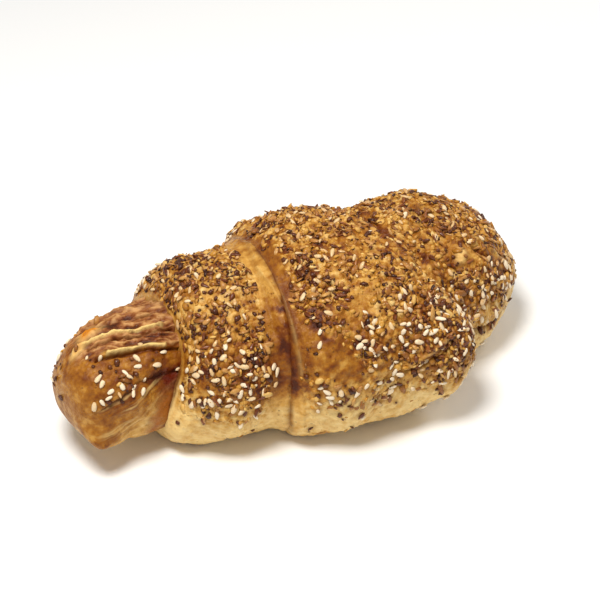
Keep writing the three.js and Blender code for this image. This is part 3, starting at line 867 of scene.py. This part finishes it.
seedPaint = {
    "mottleSize": 0.7, "poreSize": 0.6, "swing": 0.7, "glossier": 0.08, "duller": 0.12,
    "bumpStrength": 0.3, "bumpDepth": 0.0001, "specular": 0.38,
}
# how a piece lies, the draws for each one wanted where room is kept, what the crust under it has to have,
# and how many steps of the grid its painted contact shade covers
topping = {
    "lowest": 0.15, "tip": 0.16, "stretch": (0.85, 1.15), "mostGrowth": 0.7, "toneSwing": 0.2, "spare": 3,
    "leastGap": -0.15, "leastCrease": 0.4, "leastHeight": 4, "shadeRows": 10, "shadeColumns": 7,
}
# where sesame fell in clusters: wrap, x, turn, spread in millimetres and weight
sesameClusters = {
    "leftTip": (
        (-77, 130, 7, 1.3), (-83, 126, 5, 1.2), (-62, 138, 3.5, 0.6), (-84, 106, 4, 1.4), (-79, 112, 4, 0.7),
    ),
    "leftCoil": (
        (-29.6, 168, 2.2, 1.2), (-28.2, 140, 2.6, 2.6), (-38, 133, 3.5, 2.0), (-45.8, 96, 5, 1.6),
        (-27.6, 108, 4, 1.8), (-40, 235, 6, 1.4), (-33, 92, 4, 1.4),
    ),
    "middle": (
        (-12.2, 163, 2.5, 1.0), (-1.6, 142, 2.5, 1.6), (-11.5, 142, 2, 0.8), (-6, 130, 3.4, 1.4),
        (10.1, 117, 3.8, 3.4), (26.2, 119, 4.2, 3.4), (36, 131, 3, 1.4), (11, 104, 4, 1.2),
        (-6.2, 90, 3, 1.0), (42.8, 99, 3.4, 1.2), (17.5, 87, 3, 0.8), (5, 238, 8, 1.4), (26, 232, 7, 1.4),
    ),
    "rightCoil": ((58, 175, 4, 1.4), (50, 235, 6, 1.2)),
    "rightTip": ((60, 129, 4, 2.2), (63.4, 112, 4, 1.6), (59, 100, 3, 0.8), (70, 140, 4, 1.2)),
}


def crumbForm():  # the twenty-sided ball, 1 across
    g = (1 + 5**0.5) / 2
    corners = np.array([
        (-1, g, 0), (1, g, 0), (-1, -g, 0), (1, -g, 0), (0, -1, g), (0, 1, g),
        (0, -1, -g), (0, 1, -g), (g, 0, -1), (g, 0, 1), (-g, 0, -1), (-g, 0, 1),
    ]) / math.hypot(1, g) / 2
    sides = np.array([
        (0, 11, 5), (0, 5, 1), (0, 1, 7), (0, 7, 10), (0, 10, 11), (1, 5, 9), (5, 11, 4), (11, 10, 2),
        (10, 7, 6), (7, 1, 8), (3, 9, 4), (3, 4, 2), (3, 2, 6), (3, 6, 8), (3, 8, 9), (4, 9, 5),
        (2, 4, 11), (6, 2, 10), (8, 6, 7), (9, 8, 1),
    ])
    return corners, sides


def seedForm(kind):
    # rings along a ball, narrowed towards the front end like a drop: half the sine of the angle along it
    if kind["faces"] is None:
        return crumbForm()
    m, rings = kind["faces"]
    lengthwise = np.pi * np.arange(1, rings) / rings
    turn = 2 * np.pi * np.arange(m) / m
    thin = np.sin(lengthwise) * (1 - kind["point"] * (0.5 - np.cos(lengthwise) / 2))
    ring = np.stack([
        np.repeat(-np.cos(lengthwise) / 2, m),
        np.outer(thin, np.cos(turn)).ravel() / 2, np.outer(thin, np.sin(turn)).ravel() / 2,
    ], axis=-1)
    corners = np.concatenate([ring, [(-0.5, 0, 0), (0.5, 0, 0)]])
    k = np.arange(m)
    after = (k + 1) % m
    start, end, tail = np.full(m, len(ring)), np.full(m, len(ring) + 1), (rings - 2) * m
    sides = [(start, after, k), (end, tail + k, tail + after)]
    for low in range(0, tail, m):
        high = low + m
        sides += [(low + k, low + after, high + after), (low + k, high + after, high + k)]
    return corners, np.concatenate([np.stack(side, -1) for side in sides])


def crustField(grids):
    # every quad of the crust as a place to lie: its middle, outward normal, area, where it is and its masks
    parts = []
    for index, grid in enumerate(grids):
        p = grid.places
        q = np.roll(p, -1, axis=1)
        cross = np.cross(q[1:] - p[:-1], q[:-1] - p[1:])
        length = np.linalg.norm(cross, axis=-1)
        rows, columns = np.indices(length.shape)
        shown = (grid.gap > topping["leastGap"]) & (grid.crease > topping["leastCrease"])
        shown &= p[..., 2] > topping["leastHeight"]
        where = grid.name, grid.x, grid.turn
        cluster, toast = spots(sesameClusters, *where), spots(toasted, *where)
        values = {
            "place": (p[:-1] + p[1:] + q[1:] + q[:-1]) / 4,
            "normal": cross / np.maximum(length, 1e-9)[..., None],
            "area": length / 2, "grid": np.full(length.shape, index), "row": rows, "column": columns,
            "dipped": (grid.dipped * shown)[:-1], "cluster": (cluster * shown)[:-1], "toast": toast[:-1],
            "turn": grid.turn[:-1], "tip": np.full(length.shape, float(grid.name == "leftTip")),
        }
        parts.append({key: value.reshape(-1, *value.shape[2:]) for key, value in values.items()})
    return {key: np.concatenate([part[key] for part in parts]) for key in parts[0]}


def thinOut(places, room):
    # keeps a place only if no kept one lies within room; kept ones are looked up by cells of that size
    taken, kept = {}, []
    steps = [np.array(step) - 1 for step in np.ndindex(3, 3, 3)]
    for index, (cell, place) in enumerate(zip(np.floor(places / room).astype(int), places)):
        near = [taken[key] for key in (tuple(cell + step) for step in steps) if key in taken]
        if all(np.linalg.norm(other - place) > room for other in near):
            taken[tuple(cell)] = place
            kept.append(index)
    return np.array(kept)


def unit(vectors):
    return vectors / np.linalg.norm(vectors, axis=-1, keepdims=True)


def scatter(kind, field, density, tone, grain):
    # draws quads of the crust by area times density, and lays one seed on each, all in one mesh
    random = np.random.default_rng(kind["seed"])
    chance = field["area"] * density
    draws = kind["count"] * (topping["spare"] if kind["room"] else 1)
    drawn = random.choice(len(chance), size=draws, p=chance / chance.sum())
    if kind["room"]:
        drawn = drawn[thinOut(field["place"][drawn], kind["room"])][:kind["count"]]
    count = len(drawn)
    normal = field["normal"][drawn]
    spin = random.uniform(0, 2 * np.pi, (count, 1))
    side = unit(np.cross(normal, np.where(np.abs(normal[:, :1]) < 0.9, [[1.0, 0, 0]], [[0, 1.0, 0]])))
    tip = random.normal(0, topping["tip"], (count, 2))
    long = unit(side * np.cos(spin) + np.cross(normal, side) * np.sin(spin) + normal * tip[:, :1])
    wide = unit(np.cross(normal, long) + normal * tip[:, 1:])
    wide = unit(wide - long * np.sum(wide * long, axis=1, keepdims=True))
    axes = (long, wide, np.cross(long, wide))
    most = topping["mostGrowth"]
    grown = np.exp(np.clip(random.normal(0, kind["varies"], (count, 1)), -most, most))
    size = np.array(kind["size"]) * grown * random.uniform(*topping["stretch"], (count, 3))
    rise = size[:, 2:] * (0.5 - kind["sink"]) + kind["stack"] * random.uniform(0, 1, (count, 1)) ** 3
    centre = field["place"][drawn] + normal * rise
    corners, sides = seedForm(kind)
    shaped = corners * (1 + kind["uneven"] * random.uniform(-1, 1, (count, len(corners), 1))) * size[:, None]
    points = centre[:, None] + sum(shaped[..., k:k + 1] * axis[:, None] for k, axis in enumerate(axes))
    points[..., 2] = np.maximum(points[..., 2], topping["lowest"])
    faces = (sides + len(corners) * np.arange(count)[:, None, None]).reshape(-1, 3)
    tones = np.clip(tone[drawn] + random.normal(0, topping["toneSwing"], count), 0, 1)
    piece = makeMesh(kind["name"], points.reshape(-1, 3), [faces], tone=np.repeat(tones, len(corners)))
    piece.data.materials.append(makeSeedMaterial(kind, grain))
    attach(piece, body)
    print(kind["name"], count, "pieces,", len(faces), "triangles")
    return drawn


def paintShadeRound(grids, field, drawn, reach):
    # paints contact shade on the crust round each piece drawn: a bell of the distance, as wide as reach, on
    # the grid near it
    for index, grid in enumerate(grids):
        here = drawn[field["grid"][drawn] == index]
        n, m = grid.x.shape
        for i in range(-topping["shadeRows"], topping["shadeRows"] + 1):
            for j in range(-topping["shadeColumns"], topping["shadeColumns"] + 1):
                row, column = np.clip(field["row"][here] + i, 0, n - 1), (field["column"][here] + j) % m
                distance = np.linalg.norm(grid.places[row, column] - field["place"][here], axis=-1)
                np.maximum.at(grid.shade, (row, column), bell(distance / reach))


def makeSeedMaterial(kind, grain):
    material, tree, skin = startMaterial(kind["name"], grain, seedPaint)
    swing = swung(tree, skin["Mottle"], seedPaint["swing"])
    toned = maths(tree, "ADD", attribute(tree, "tone"), swing, clamp=True)
    rough = kind["roughness"] - seedPaint["glossier"], kind["roughness"] + seedPaint["duller"]
    return finishMaterial(material, skin, ramp(tree, toned, kind["tones"]), rough, seedPaint)


def sprinkle(grids, grain):
    # the topping: how thick each kind lies, and how toasted it is
    field = crustField(grids)
    dipped, onTip, turn, toast = field["dipped"], field["tip"], field["turn"], np.clip(field["toast"], 0, 1)
    low = ease(150, 118, turn) + ease(210, 242, turn)
    coarse, fine = layeredNoise(field["place"], 9, 61, 2), layeredNoise(field["place"], 3.5, 71, 2)
    browner = ease(-0.35, 0.45, coarse + 0.7 * fine)
    even, unburnt = np.full(dipped.shape, 0.5), 1 - 0.8 * toast
    clustered = dipped * (0.25 + 0.4 * low) + 0.5 * field["cluster"] * (1 - 0.55 * onTip)
    layers = (
        (sesame, clustered, 0.55 - 0.40 * low - 0.2 * onTip),
        (flax, dipped * (1 - 0.8 * onTip) + 0.004 * low, even),
        (branFlakes, dipped * (0.3 + browner) * (1 - 0.9 * onTip), 0.45 + 0.5 * toast),
        (branChips, dipped * (0.2 + browner**2 + 0.6 * toast) * (1 - 0.4 * onTip), 0.6 + 0.3 * toast),
        (goldenGrains, dipped * (1.3 - browner) * (1 - 0.85 * onTip) * unburnt, 0.42 + 0.5 * toast),
        (cheeseCrumbs, dipped * (1 - 0.9 * onTip), even),
    )
    for kind, density, tone in layers:
        drawn = scatter(kind, field, density, tone, grain)
        if kind["shadeReach"]:
            paintShadeRound(grids, field, drawn, kind["shadeReach"])


makeStudio()
grain = makeBakedGrain()
grids = [crustGrid(name) for name in wraps]
print("crust worked out")
sprinkle(grids, grain)
crustMaterial = makeCrustMaterial(grain)
for grid in grids:
    makeCrust(grid, crustMaterial)
print("crust made")
